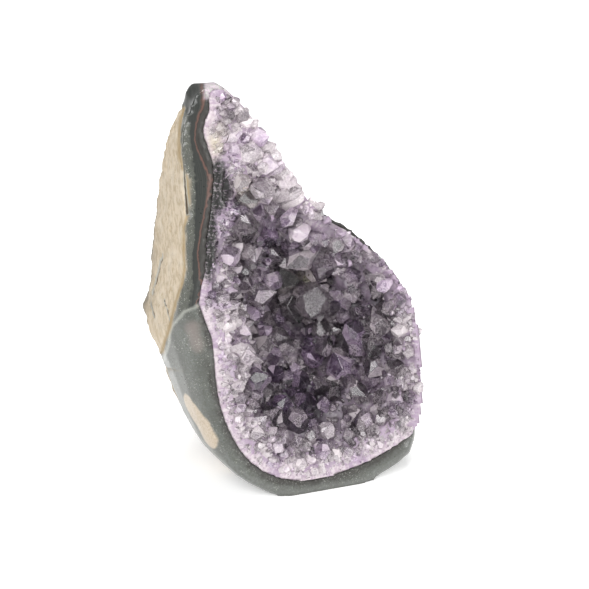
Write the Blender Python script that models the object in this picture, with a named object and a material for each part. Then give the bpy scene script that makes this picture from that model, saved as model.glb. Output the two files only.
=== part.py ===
"""Standing amethyst geode: a rind of rock and agate, sawn flat and polished in front, and lined with amethyst.

Lengths in the tables are millimetres on the leaning front face: across it, up it, and straight back.
"""

import math
import random

import bpy
import bmesh
from mathutils import Matrix, Vector, noise
from mathutils.bvhtree import BVHTree

# Driving dimensions, in millimetres unless the name says otherwise.
FACE_LEAN = math.radians(16.0)  # the sawn face leans back from upright
BASE_LEVEL = -2.0  # height of the saw cut that the geode stands on
SAMPLES_PER_STATION = 2
TOUCHING_GAP = 0.4  # between the rind and the crust in it
STEP = 4.5  # where the rind is set back this far or more, the crust stands free of it
# What the crust's edge draws in over a step, at most, and as a share of its reach from the spine.
UNDERCUT, UNDERCUT_SHARE = 2.2, 0.18
# What the crust's back spreads past its front, in the same two ways.
FULLNESS, FULLNESS_SHARE = 3.0, 0.08

# Stations round the front, from the peak down the left side, along the foot and up the right side:
# rind edge (across, up), widest rind (across, up, back), crust edge (across, up), how far the rind is set
# back, width of the crust's flat polished border, and thickness of the crust's edge.
STATIONS = (
    ((-20.5, 134.6), (-20.2, 132.8, 6.0), (-17.4, 132.6), 0.0, 8.0, 3.5),
    ((-24.8, 129.8), (-23.2, 125.8, 10.0), (-17.9, 127.6), 0.0, 7.5, 5.5),
    ((-27.8, 121.5), (-27.6, 118.0, 17.0), (-20.9, 121.0), 0.0, 8.5, 7.0),
    ((-29.2, 110.5), (-29.6, 105.5, 22.0), (-18.6, 110.5), 0.0, 5.0, 8.0),
    ((-29.8, 99.0), (-31.2, 92.0, 26.0), (-20.3, 98.5), 0.0, 4.5, 8.0),
    ((-30.8, 86.5), (-33.4, 79.0, 27.0), (-23.2, 86.5), 0.0, 5.0, 8.0),
    ((-32.2, 75.0), (-35.6, 66.0, 27.0), (-25.0, 75.5), 0.0, 5.5, 8.0),
    ((-33.2, 65.5), (-38.8, 52.0, 26.0), (-28.0, 66.2), 0.0, 7.5, 8.0),
    ((-30.4, 54.0), (-37.8, 44.5, 25.0), (-24.9, 54.5), 0.0, 7.5, 8.0),
    ((-30.0, 42.0), (-35.0, 35.0, 22.0), (-25.0, 42.0), 0.0, 7.5, 8.0),
    ((-28.6, 30.0), (-32.2, 23.6, 17.0), (-24.2, 30.8), 0.0, 8.0, 8.0),
    ((-25.6, 18.4), (-27.0, 12.0, 17.0), (-21.3, 20.8), 0.0, 8.5, 8.0),
    ((-20.4, 9.2), (-18.5, 2.5, 26.0), (-16.0, 11.4), 0.0, 9.0, 8.0),
    ((-9.5, 1.6), (-9.2, -5.4, 35.0), (-6.8, 4.6), 0.0, 9.0, 8.0),
    ((4.0, -2.6), (4.0, -14.0, 31.0), (4.6, 2.0), 0.0, 8.5, 8.0),
    ((18.0, -2.2), (18.0, -13.0, 31.0), (16.4, 3.2), 0.0, 8.0, 8.0),
    ((29.6, 2.2), (30.0, -6.0, 33.0), (27.4, 5.8), 0.0, 7.5, 8.0),
    ((40.0, 7.0), (42.4, -0.8, 31.0), (37.2, 9.8), 1.0, 7.0, 8.0),
    ((45.0, 14.4), (46.5, 7.0, 27.0), (45.0, 14.4), 6.0, 6.0, 8.0),
    ((47.0, 26.5), (48.0, 24.5, 20.0), (47.0, 26.5), 7.0, 3.5, 8.5),
    ((47.7, 40.0), (49.0, 37.0, 21.0), (47.7, 40.0), 7.0, 3.0, 8.5),
    ((47.0, 52.5), (48.2, 49.5, 21.0), (47.0, 52.5), 7.0, 3.0, 8.5),
    ((43.4, 63.2), (43.8, 60.5, 20.0), (43.4, 63.2), 7.0, 3.0, 8.5),
    ((35.4, 73.6), (35.2, 71.2, 20.0), (35.4, 73.6), 7.0, 2.5, 8.5),
    ((26.6, 82.4), (26.2, 80.4, 18.0), (26.6, 82.4), 7.0, 1.5, 8.5),
    ((17.4, 88.6), (16.8, 87.0, 17.0), (17.4, 88.6), 7.0, 0.5, 8.5),
    ((10.4, 97.6), (10.2, 97.0, 15.0), (10.4, 97.6), 7.0, 0.5, 8.5),
    ((3.8, 108.8), (3.8, 108.4, 13.0), (3.8, 108.8), 7.0, 0.5, 8.5),
    ((-1.8, 119.6), (-1.8, 119.4, 12.0), (-1.8, 119.6), 5.5, 0.5, 7.0),
    ((-7.0, 128.2), (-7.0, 128.0, 11.0), (-7.0, 128.2), 4.5, 0.5, 6.0),
    ((-12.4, 133.6), (-12.6, 133.4, 9.5), (-12.4, 133.6), 3.0, 1.5, 4.5),
)
FACE_LOW, FACE_HIGH = -2.6, 135.4

# The line inside the outline that every section draws in to, and what lies along it from foot to peak.
SPINE_FOOT, SPINE_PEAK = (11.0, 30.0), (-13.0, 121.0)
HOLLOW_DEPTHS = (25.0, 29.0, 24.0, 10.0, 3.5, 2.0)
CRUST_FLOORS = (8.0, 8.0, 8.0, 8.0, 6.5, 5.0)  # thickness of the crust under the hollow
BACK_DEPTHS = (61.0, 62.0, 57.0, 47.0, 34.0, 19.0)

# Rings of the solids, as shares of the way.
FRONT_RINGS = (0.0, 0.2, 0.45, 0.72, 1.0)  # face edge to widest
BACK_RINGS = (0.2, 0.4, 0.6, 0.77, 0.9)  # widest to the back
HOLLOW_RINGS = (0.84, 0.68, 0.5, 0.32, 0.15)  # crust edge to the spine

# Weathered lumps on the outside.
LUMP_HEIGHT = 2.4
LUMP_SPACING = 15.0
FRONT_LUMPS = 0.25  # how much of them reaches round to the widest section

# Crystals.
CRYSTAL_SEED = 7
CRYSTAL_TRIES = 9000
CRYSTAL_SIZES = (3.8, 6.2)  # radius
CRYSTAL_PACKING = 0.75  # distance between two crystals, as a share of their radii together
SHOULDERS = (0.1, 0.9)  # height of the shoulder, in radii
TIP_HEIGHT = 1.15  # height of the point above the shoulder, in radii
TIP_LEAN = 0.35  # how far the point may stand off the middle, in radii
OUT_OF_HOLLOW = (0.0, -0.45, 0.1)  # leans a crystal from the crust's own direction towards the opening
WANDER = 0.22  # how far it strays from there
BORDER_DEPTH = 0.0008  # metres; shallower places are the flat border, with no crystals
ROOT_DEPTH = 2.4
ROOM_AT_RIND, ROOM_AT_STEP = 1.35, 1.05  # least distance to the crust's edge, in radii
# Crystals that stand out: across, up, radius, and how far the shoulder stands above the crust.
LARGE_CRYSTALS = (
    (-8.0, 117.0, 4.6, 3.0),
    (0.0, 105.0, 6.0, 3.5),
    (-9.5, 103.0, 5.4, 2.5),
    (6.0, 94.0, 6.4, 3.0),
    (-10.0, 89.0, 5.4, 2.5),
    (19.0, 52.0, 6.8, 7.0),
    (28.0, 62.0, 6.0, 4.0),
    (20.0, 36.0, 6.4, 6.0),
    (3.0, 62.0, 6.0, 4.5),
    (11.0, 72.0, 5.6, 3.0),
    (-14.0, 54.0, 5.4, 3.0),
    (33.0, 40.0, 5.6, 3.5),
    (2.0, 33.0, 6.0, 4.0),
    (-8.5, 22.0, 5.0, 3.0),
)
# Crystals on the edge between the peak and the shoulder, which overhang the rind: across, up, radius.
EDGE_CRYSTALS = (
    (-10.8, 130.6, 2.2),
    (-8.0, 129.2, 2.1),
    (-5.6, 125.0, 3.0),
    (-2.8, 121.8, 2.4),
    (-0.8, 116.6, 3.4),
    (2.4, 113.2, 2.6),
    (3.6, 107.6, 3.6),
    (7.0, 103.6, 2.8),
    (8.2, 98.6, 3.8),
    (12.0, 95.8, 2.8),
    (14.2, 91.4, 3.6),
)
OVERHANG = (0.6, -0.7, 0.5)  # the way that they point
EDGE_WANDER = 0.3  # how far they stray from that way
EDGE_ROOT = 0.6  # how deep in the crust they start
EDGE_SHOULDER = 0.3  # shoulder height, in radii


def at(across, up, back):
    """The point, in metres, that lies this far across and up the leaning face and then straight back."""
    return Vector((across, up * math.sin(FACE_LEAN) + back, up * math.cos(FACE_LEAN))) / 1000


def round_the_outline(column):
    """A column of the stations, as a smooth closed curve through them."""
    values = [row[column] for row in STATIONS]
    rows = [Vector(value if isinstance(value, tuple) else (value, 0)) for value in values]
    count = len(rows)
    curve = []
    for i, here in enumerate(rows):
        before, after, beyond = rows[i - 1], rows[(i + 1) % count], rows[(i + 2) % count]
        for step in range(SAMPLES_PER_STATION):
            t = step / SAMPLES_PER_STATION
            slope_here, slope_after = (after - before) / 2, (beyond - here) / 2
            curve.append(
                here * (2 * t**3 - 3 * t**2 + 1)
                + slope_here * (t**3 - 2 * t**2 + t)
                + after * (3 * t**2 - 2 * t**3)
                + slope_after * (t**3 - t**2)
            )
    return curve


RIND_EDGE, WIDEST, CRUST_LINE = (round_the_outline(column) for column in range(3))
SET_BACK = [max(0.0, value.x) for value in round_the_outline(3)]
BORDER = [max(0.5, value.x) for value in round_the_outline(4)]
EDGE_DEPTH = [value.x for value in round_the_outline(5)]
AROUND = range(len(RIND_EDGE))
ALONG = [CRUST_LINE[(i + 1) % len(AROUND)] - CRUST_LINE[i - 1] for i in AROUND]
OUTWARD = [Vector((along.y, -along.x)).normalized() for along in ALONG]


def along_spine(up):
    """How far along the spine a point at this height belongs, from 0 at the foot to 1 at the peak."""
    t = min(max((up - FACE_LOW) / (FACE_HIGH - FACE_LOW), 0.0), 1.0)
    return t * t * (3 - 2 * t)


def spine(share):
    return Vector(SPINE_FOOT).lerp(Vector(SPINE_PEAK), share)


def graded(values, share):
    """A value read between evenly spaced ones."""
    place = share * (len(values) - 1)
    low = min(int(place), len(values) - 2)
    return values[low] + (values[low + 1] - values[low]) * (place - low)


def crust_ring(reach, back_of, outward=None):
    """A ring at this share of the way out from the spine. back_of gives its depth, and outward widens it."""
    ring = []
    for i in AROUND:
        edge = CRUST_LINE[i]
        share = along_spine(edge.y)
        centre = spine(share)
        flat = centre + (edge - centre) * reach
        if outward:
            flat += OUTWARD[i] * outward[i]
        ring.append(at(flat.x, flat.y, back_of(i, share)))
    return ring


def at_most(length, share, i):
    """A length, limited to this share of the way from the spine to the crust's edge."""
    edge = CRUST_LINE[i]
    return min(length, share * (edge - spine(along_spine(edge.y))).length)


def undercut(i):
    return at_most(UNDERCUT, UNDERCUT_SHARE, i) * min(1.0, SET_BACK[i] / STEP)


def hollow_depth(i, share, reach):
    """Depth of the crust's front at this share of the way out: flat at the border, deepest along the spine."""
    edge = CRUST_LINE[i]
    border_starts = 1 - BORDER[i] / (edge - spine(share)).length
    inside = min(reach / border_starts, 1.0)
    return graded(HOLLOW_DEPTHS, share) * (1 - inside**2.4)


def crust_back(i, share, reach):
    """Depth of the crust's back, which lies on the rind."""
    edge_share = max(0.0, (reach - 0.6) / 0.4)
    floor = graded(CRUST_FLOORS, share)
    return hollow_depth(i, share, reach) + floor + (EDGE_DEPTH[i] - floor) * edge_share


def crust_back_ring(reach, gap=0.0):
    """A ring of the crust's back, which is fuller than its front so that steep walls keep their thickness."""
    swell = 4 * reach * (1 - reach)
    fuller = [at_most(FULLNESS, FULLNESS_SHARE, i) * swell - undercut(i) * reach for i in AROUND]
    return crust_ring(reach, lambda i, share: crust_back(i, share, reach) + gap, fuller)


def face_outwards(bm):
    bmesh.ops.recalc_face_normals(bm, faces=bm.faces)
    if bm.calc_volume(signed=True) < 0:
        bmesh.ops.reverse_faces(bm, faces=bm.faces)


def shut(bm, loop):
    """Closes a long narrow ring by triangles between its two sides, from its top down to its foot."""
    heights = [vert.co.z for vert in loop]
    top, foot = heights.index(max(heights)), heights.index(min(heights))
    count = len(loop)
    near = [loop[(top + step) % count] for step in range((foot - top) % count + 1)]
    far = [loop[(top - step) % count] for step in range((top - foot) % count + 1)]
    i = j = 0
    while i < len(near) - 1 or j < len(far) - 1:
        far_is_done = j == len(far) - 1
        near_is_next = far_is_done or (i < len(near) - 1 and near[i + 1].co.z > far[j + 1].co.z)
        corners = (near[i], near[i + 1], far[j]) if near_is_next else (near[i], far[j + 1], far[j])
        if len(set(corners)) == 3:
            bm.faces.new(corners)
        i, j = (i + 1, j) if near_is_next else (i, j + 1)


def join_rings(bm, rings):
    """Skins a row of rings with triangles, split the shorter way, and closes both ends."""
    loops = [[bm.verts.new(point) for point in ring] for ring in rings]
    for near, far in zip(loops, loops[1:]):
        for i in AROUND:
            a, b, c, d = near[i - 1], near[i], far[i], far[i - 1]
            shorter_from_a = (a.co - c.co).length < (b.co - d.co).length
            for corners in ((a, b, c), (a, c, d)) if shorter_from_a else ((a, b, d), (b, c, d)):
                bm.faces.new(corners)
    shut(bm, loops[0])
    shut(bm, loops[-1])
    face_outwards(bm)


def material(name, colour, roughness):
    made = bpy.data.materials.new(name)
    made.use_nodes = True
    shader = made.node_tree.nodes["Principled BSDF"]
    shader.inputs["Base Color"].default_value = (*colour, 1.0)
    shader.inputs["Roughness"].default_value = roughness
    shader.inputs["Metallic"].default_value = 0.0
    return made


def add_object(name, bm, finish):
    mesh = bpy.data.meshes.new(name)
    bm.to_mesh(mesh)
    bm.free()
    made = bpy.data.objects.new(name, mesh)
    bpy.context.scene.collection.objects.link(made)
    mesh.materials.append(finish)
    return made


def rind_front_rings():
    """From the polished edge round to the widest section, leaving the face in a rounded shoulder."""
    rings = []
    for share in FRONT_RINGS:
        outward, backward = math.sin(share * math.pi / 2), 1 - math.cos(share * math.pi / 2)
        ring = []
        for i in AROUND:
            flat = RIND_EDGE[i].lerp(WIDEST[i].xy, outward)
            ring.append(at(flat.x, flat.y, SET_BACK[i] + (WIDEST[i].z - SET_BACK[i]) * backward))
        rings.append(ring)
    return rings


def rind_back_rings():
    """From the widest section to the domed back."""
    rings = []
    for share in BACK_RINGS:
        size, backward = math.cos(share * math.pi / 2) ** 0.85, math.sin(share * math.pi / 2)
        ring = []
        for i in AROUND:
            place = along_spine(WIDEST[i].y)
            centre = spine(place)
            flat = centre + (WIDEST[i].xy - centre) * size
            depth = WIDEST[i].z + (graded(BACK_DEPTHS, place) - WIDEST[i].z) * backward
            ring.append(at(flat.x, flat.y, depth))
        rings.append(ring)
    return rings


def lumps(ring, strength):
    """The weathered outside: each point moves in or out by a smooth noise."""
    moved = []
    middle = sum(ring, Vector()) / len(ring)
    for point in ring:
        height = noise.fractal(point * (1000 / LUMP_SPACING), 0.9, 2.0, 3) * LUMP_HEIGHT * strength
        moved.append(point + (point - middle).normalized() * (height / 1000))
    return moved


def build_rind():
    """The rock with its agate lining, one solid: rounded outside, hollow inside, flat underneath."""
    front, back = rind_front_rings(), rind_back_rings()
    front = [lumps(ring, FRONT_LUMPS * share) for ring, share in zip(front, FRONT_RINGS)]
    back = [lumps(ring, 1.0) for ring in back]
    gap = TOUCHING_GAP
    drawn_in = [gap - undercut(i) * SET_BACK[i] / EDGE_DEPTH[i] for i in AROUND]
    rim = crust_ring(1.0, lambda i, share: SET_BACK[i], drawn_in)
    wall_outward = [gap - undercut(i) for i in AROUND]
    wall = crust_ring(1.0, lambda i, share: crust_back(i, share, 1.0) + gap, wall_outward)
    floor = [crust_back_ring(reach, gap) for reach in HOLLOW_RINGS]
    bm = bmesh.new()
    join_rings(bm, [*reversed(floor), wall, rim, *front, *back])
    level = Vector((0, 0, BASE_LEVEL / 1000))
    parts = bm.verts[:] + bm.edges[:] + bm.faces[:]
    cut = bmesh.ops.bisect_plane(
        bm, geom=parts, plane_co=level, plane_no=(0, 0, 1), clear_inner=True, dist=1e-6
    )
    rim_edges = [piece for piece in cut["geom_cut"] if isinstance(piece, bmesh.types.BMEdge)]
    bmesh.ops.edgeloop_fill(bm, edges=rim_edges)
    face_outwards(bm)
    return add_object("rind", bm, material("rind_rock", (0.42, 0.37, 0.29), 0.7))


def crust_bowl():
    """The crust without its crystals: a thick bowl with a flat border and an undercut edge."""
    front = [crust_ring(1.0, lambda i, share: 0.0)]
    front.append(crust_ring(0.93, lambda i, share: hollow_depth(i, share, 0.93)))
    for reach in HOLLOW_RINGS:
        front.append(crust_ring(reach, lambda i, share, r=reach: hollow_depth(i, share, r)))
    wall = crust_ring(1.0, lambda i, share: crust_back(i, share, 1.0), [-undercut(i) for i in AROUND])
    floor = [crust_back_ring(reach) for reach in HOLLOW_RINGS]
    bm = bmesh.new()
    join_rings(bm, [*reversed(front), wall, *floor])
    return bm


def add_crystal(bm, place, axis, radius, shoulder, turn, lean):
    """A six-sided crystal: a root narrowing into the crust, a short prism, and a point off its middle."""
    up = axis.to_track_quat("Z", "Y").to_matrix().to_4x4()
    frame = Matrix.Translation(place) @ up @ Matrix.Rotation(turn, 4, "Z")
    prism = bmesh.ops.create_cone(
        bm, cap_ends=True, segments=6, radius1=radius * 0.5, radius2=radius, depth=ROOT_DEPTH / 1000
    )["verts"]
    bmesh.ops.translate(bm, verts=prism, vec=(0, 0, -ROOT_DEPTH / 2000))
    top = next(face for face in prism[-1].link_faces if len(face.verts) == 6 and face.normal.z > 0.9)
    raised = bmesh.ops.extrude_discrete_faces(bm, faces=[top])["faces"][0]
    bmesh.ops.translate(bm, verts=raised.verts, vec=(0, 0, shoulder))
    tip = bmesh.ops.poke(bm, faces=[raised])["verts"][0]
    tip.co += Vector((lean.x, lean.y, TIP_HEIGHT)) * radius
    body = {vert for vert in prism} | {vert for face in tip.link_faces for vert in face.verts}
    bmesh.ops.remove_doubles(bm, verts=list(body), dist=1e-7)
    bmesh.ops.transform(bm, matrix=frame, verts=[vert for vert in body if vert.is_valid])


def wander_of(draw, spread):
    return Vector([draw.gauss(0, spread) for _ in range(3)])


def turn_of(draw):
    return draw.uniform(0, math.pi / 3)


def lean_of(draw):
    return Vector((draw.uniform(-TIP_LEAN, TIP_LEAN), draw.uniform(-TIP_LEAN, TIP_LEAN)))


def over_the_edge(across, up, radius):
    """Whether a crystal here would reach past the crust's edge and into the rind."""
    here = Vector((across, up))
    for i in AROUND:
        room = ROOM_AT_STEP if SET_BACK[i] > 2 else ROOM_AT_RIND
        if (CRUST_LINE[i] - here).length < radius * room:
            return True
    return False


def crystal_places(bowl):
    """Where crystals stand: place, direction, radius, shoulder height, turn and lean of each."""
    draw = random.Random(CRYSTAL_SEED)
    surface = BVHTree.FromBMesh(bowl)
    straight_back = Vector((0, 1, 0))
    wanted = list(LARGE_CRYSTALS)
    low_across, high_across = min(p.x for p in CRUST_LINE), max(p.x for p in CRUST_LINE)
    for _ in range(CRYSTAL_TRIES):
        radius = draw.uniform(0, 1) ** 1.6 * (CRYSTAL_SIZES[1] - CRYSTAL_SIZES[0]) + CRYSTAL_SIZES[0]
        wanted.append((draw.uniform(low_across, high_across), draw.uniform(FACE_LOW, FACE_HIGH), radius, None))
    placed = []
    for across, up, radius in EDGE_CRYSTALS:
        radius /= 1000
        axis = (Vector(OVERHANG) + wander_of(draw, EDGE_WANDER)).normalized()
        place = at(across, up, EDGE_ROOT)
        placed.append((place, axis, radius, radius * EDGE_SHOULDER, turn_of(draw), lean_of(draw)))
    for across, up, radius, shoulder in wanted:
        hit, normal, _, _ = surface.ray_cast(at(across, up, -20), straight_back)
        on_border = hit is None or hit.y - at(across, up, 0).y < BORDER_DEPTH
        if on_border or over_the_edge(across, up, radius):
            continue
        radius /= 1000
        if any((hit - other[0]).length < (radius + other[2]) * CRYSTAL_PACKING for other in placed):
            continue
        if normal.y > 0:
            normal.negate()
        axis = (normal + Vector(OUT_OF_HOLLOW) + wander_of(draw, WANDER)).normalized()
        shoulder = radius * draw.uniform(*SHOULDERS) if shoulder is None else shoulder / 1000
        placed.append((hit, axis, radius, shoulder, turn_of(draw), lean_of(draw)))
    return placed


def fill_pockets(mesh):
    """Keeps a solid's outer skin alone, which fills the pockets that are sealed between its crystals."""
    bm = bmesh.new()
    bm.from_mesh(mesh)
    skins, seen = [], set()
    for start in bm.faces:
        if start in seen:
            continue
        seen.add(start)
        skin = [start]
        for face in skin:
            beside = [other for edge in face.edges for other in edge.link_faces if other not in seen]
            seen.update(beside)
            skin.extend(dict.fromkeys(beside))
        skins.append(skin)
    skins.sort(key=len)
    for pocket in skins[:-1]:
        bmesh.ops.delete(bm, geom=pocket, context="FACES")
    bm.to_mesh(mesh)
    bm.free()


def build_crust():
    """The amethyst crust: the bowl and its crystals fused in one solid."""
    bowl = crust_bowl()
    crystals = bmesh.new()
    for place, axis, radius, shoulder, turn, lean in crystal_places(bowl):
        add_crystal(crystals, place, axis, radius, shoulder, turn, lean)
    finish = material("amethyst", (0.36, 0.30, 0.38), 0.15)
    crust = add_object("amethyst_crust", bowl, finish)
    grown = add_object("crystals_to_fuse", crystals, finish)
    fuse = crust.modifiers.new("fuse crystals", "BOOLEAN")
    fuse.operation = "UNION"
    fuse.solver = "EXACT"
    fuse.use_self = True
    fuse.object = grown
    bpy.context.view_layer.update()
    graph = bpy.context.evaluated_depsgraph_get()
    fused = bpy.data.meshes.new_from_object(crust.evaluated_get(graph))
    crust.modifiers.clear()
    bpy.data.objects.remove(grown)
    fill_pockets(fused)
    crust.data = fused
    return crust


def stand_on_origin(objects):
    """Moves everything so that the middle of the foot of its box is the origin."""
    corners = [vert.co for obj in objects for vert in obj.data.vertices]
    low = Vector([min(corner[axis] for corner in corners) for axis in range(3)])
    high = Vector([max(corner[axis] for corner in corners) for axis in range(3)])
    shift = Vector(((low.x + high.x) / 2, (low.y + high.y) / 2, low.z))
    for obj in objects:
        obj.location -= shift


def main():
    for obj in list(bpy.data.objects):
        bpy.data.objects.remove(obj)
    stand_on_origin((build_rind(), build_crust()))


main()
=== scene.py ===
import itertools
import math
import random
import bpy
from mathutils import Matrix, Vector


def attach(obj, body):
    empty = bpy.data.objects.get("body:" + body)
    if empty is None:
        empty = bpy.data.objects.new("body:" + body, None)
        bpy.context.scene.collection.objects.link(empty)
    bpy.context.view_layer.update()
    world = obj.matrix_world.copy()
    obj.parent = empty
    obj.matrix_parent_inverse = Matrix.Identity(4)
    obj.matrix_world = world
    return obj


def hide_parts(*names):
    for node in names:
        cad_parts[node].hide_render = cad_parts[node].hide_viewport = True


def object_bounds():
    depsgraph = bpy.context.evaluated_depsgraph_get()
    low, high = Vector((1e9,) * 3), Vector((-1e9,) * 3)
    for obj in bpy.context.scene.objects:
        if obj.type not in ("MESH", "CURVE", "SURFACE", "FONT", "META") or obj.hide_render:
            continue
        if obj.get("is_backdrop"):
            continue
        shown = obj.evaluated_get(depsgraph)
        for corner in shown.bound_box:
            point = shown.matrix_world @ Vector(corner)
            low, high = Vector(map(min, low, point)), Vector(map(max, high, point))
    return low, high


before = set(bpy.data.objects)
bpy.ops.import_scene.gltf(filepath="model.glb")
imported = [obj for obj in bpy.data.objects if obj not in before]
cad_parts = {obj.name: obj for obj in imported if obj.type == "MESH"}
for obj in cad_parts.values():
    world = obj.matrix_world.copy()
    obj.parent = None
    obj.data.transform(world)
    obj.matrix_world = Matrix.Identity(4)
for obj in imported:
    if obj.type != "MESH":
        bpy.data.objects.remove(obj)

from types import SimpleNamespace

import bpy
import bmesh
from mathutils import Matrix, Vector, noise
from mathutils.bvhtree import BVHTree

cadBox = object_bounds()
mm = 0.001
weldDistance = 0.002 * mm

# The sawn face: its foot in the frame, and how far it leans back from upright.
face = dict(foot=Vector((-5.02, -35.94, 2.0)) * mm, lean=math.radians(16.0))
toFront = -Vector((0, math.cos(face["lean"]), -math.sin(face["lean"])))  # straight out of the face

photo = dict(
    size=589,
    faceFootPixel=(300, 489),  # where the foot of the face shows
    metresPerPixel=0.00033,  # at the face's foot
    azimuth=math.radians(-20.0),
    elevation=math.radians(24.0),
    distance=0.80,
    sensor=36.0,
    clip=(0.01, 20.0),
)


def onFace(across, up, back=0.0):  # a point from millimetres across, up and straight back of the face
    lean = face["lean"]
    return face["foot"] + Vector((across, up * math.sin(lean) + back, up * math.cos(lean))) * mm


def faceCoordinates(point):  # and back again: across, up and straight back, in millimetres
    away = (point - face["foot"]) / mm
    up = away.z / math.cos(face["lean"])
    return away.x, up, away.y - up * math.sin(face["lean"])


def smoothStep(low, high, value):
    t = min(max((value - low) / (high - low), 0.0), 1.0)
    return t * t * (3 - 2 * t)


def linear(red, green, blue):  # a colour seen in the picture, as light
    seen = [channel / 255 for channel in (red, green, blue)]
    return tuple(c / 12.92 if c <= 0.04045 else ((c + 0.055) / 1.055) ** 2.4 for c in seen) + (1.0,)


def meshOf(name, bm):
    mesh = bpy.data.meshes.new(name)
    bm.to_mesh(mesh)
    bm.free()
    return mesh


def inScene(name, data):
    made = bpy.data.objects.new(name, data)
    bpy.context.scene.collection.objects.link(made)
    return made


def colours(**seen):
    return {name: linear(*colour) for name, colour in seen.items()}


# Camera

def cameraAxes():
    a, e = photo["azimuth"], photo["elevation"]
    back = Vector((math.sin(a) * math.cos(e), -math.cos(a) * math.cos(e), math.sin(e)))
    right = Vector((math.cos(a), math.sin(a), 0.0))
    return right, back.cross(right), back


def makeCamera():
    right, up, back = cameraAxes()
    middle = photo["size"] / 2
    pixelX, pixelY = photo["faceFootPixel"]
    data = bpy.data.cameras.new("photoCamera")
    data.sensor_width = photo["sensor"]
    data.lens = photo["sensor"] * photo["distance"] / (photo["size"] * photo["metresPerPixel"])
    data.clip_start, data.clip_end = photo["clip"]
    camera = inScene("photoCamera", data)
    place = face["foot"] - right * (pixelX - middle) * photo["metresPerPixel"]
    place += up * (pixelY - middle) * photo["metresPerPixel"] + back * photo["distance"]
    camera.matrix_world = Matrix.Translation(place) @ Matrix((right, up, back)).transposed().to_4x4()
    bpy.context.scene.camera = camera
    return camera


camera = makeCamera()
bpy.context.view_layer.update()
axes, cameraPlace = cameraAxes(), camera.matrix_world.translation.copy()


def sightLine(pixelX, pixelY):  # the camera's ray through a pixel of the photograph
    right, up, back = axes
    middle = photo["size"] / 2
    spread = photo["metresPerPixel"] / photo["distance"]
    way = right * (pixelX - middle) * spread - up * (pixelY - middle) * spread - back
    return cameraPlace, way.normalized()


def pixelOf(point):  # where the photograph shows a point
    right, up, back = axes
    away = point - cameraPlace
    scale = photo["distance"] / photo["metresPerPixel"] / -away.dot(back)
    middle = photo["size"] / 2
    return middle + away.dot(right) * scale, middle - away.dot(up) * scale


def seenOn(tree, pixelX, pixelY):
    start, way = sightLine(pixelX, pixelY)
    hit, normal, _, _ = tree.ray_cast(start, way)
    if hit is None:  # just past the outline
        hit, normal, _, _ = tree.find_nearest(start + way * photo["distance"])
    return hit, normal


# Materials: Wire lets Python's operators make Math nodes, and Finish.add makes every other node.

class Wire:
    def __init__(self, finish, socket):
        self.finish, self.socket = finish, socket

    def maths(self, operation, first, second):
        return self.finish.add("ShaderNodeMath", {"operation": operation}, {0: first, 1: second})

    def __add__(self, other):
        return self.maths("ADD", self, other)

    def __sub__(self, other):
        return self.maths("SUBTRACT", self, other)

    def __rsub__(self, other):
        return self.maths("SUBTRACT", other, self)

    def __mul__(self, other):
        return self.maths("MULTIPLY", self, other)

    __radd__ = __add__
    __rmul__ = __mul__

    def between(self, low, high):  # 0 below low, 1 above high, smooth between them
        settings = {"interpolation_type": "SMOOTHSTEP", "clamp": True}
        return self.finish.add(
            "ShaderNodeMapRange", settings, {"Value": self, "From Min": low, "From Max": high}
        )

    def near(self, middle, width):  # 1 at middle, 0 further than width away
        away = self.finish.add("ShaderNodeMath", {"operation": "ABSOLUTE"}, {0: self - middle})
        return 1 - away.between(0.0, width)


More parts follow.
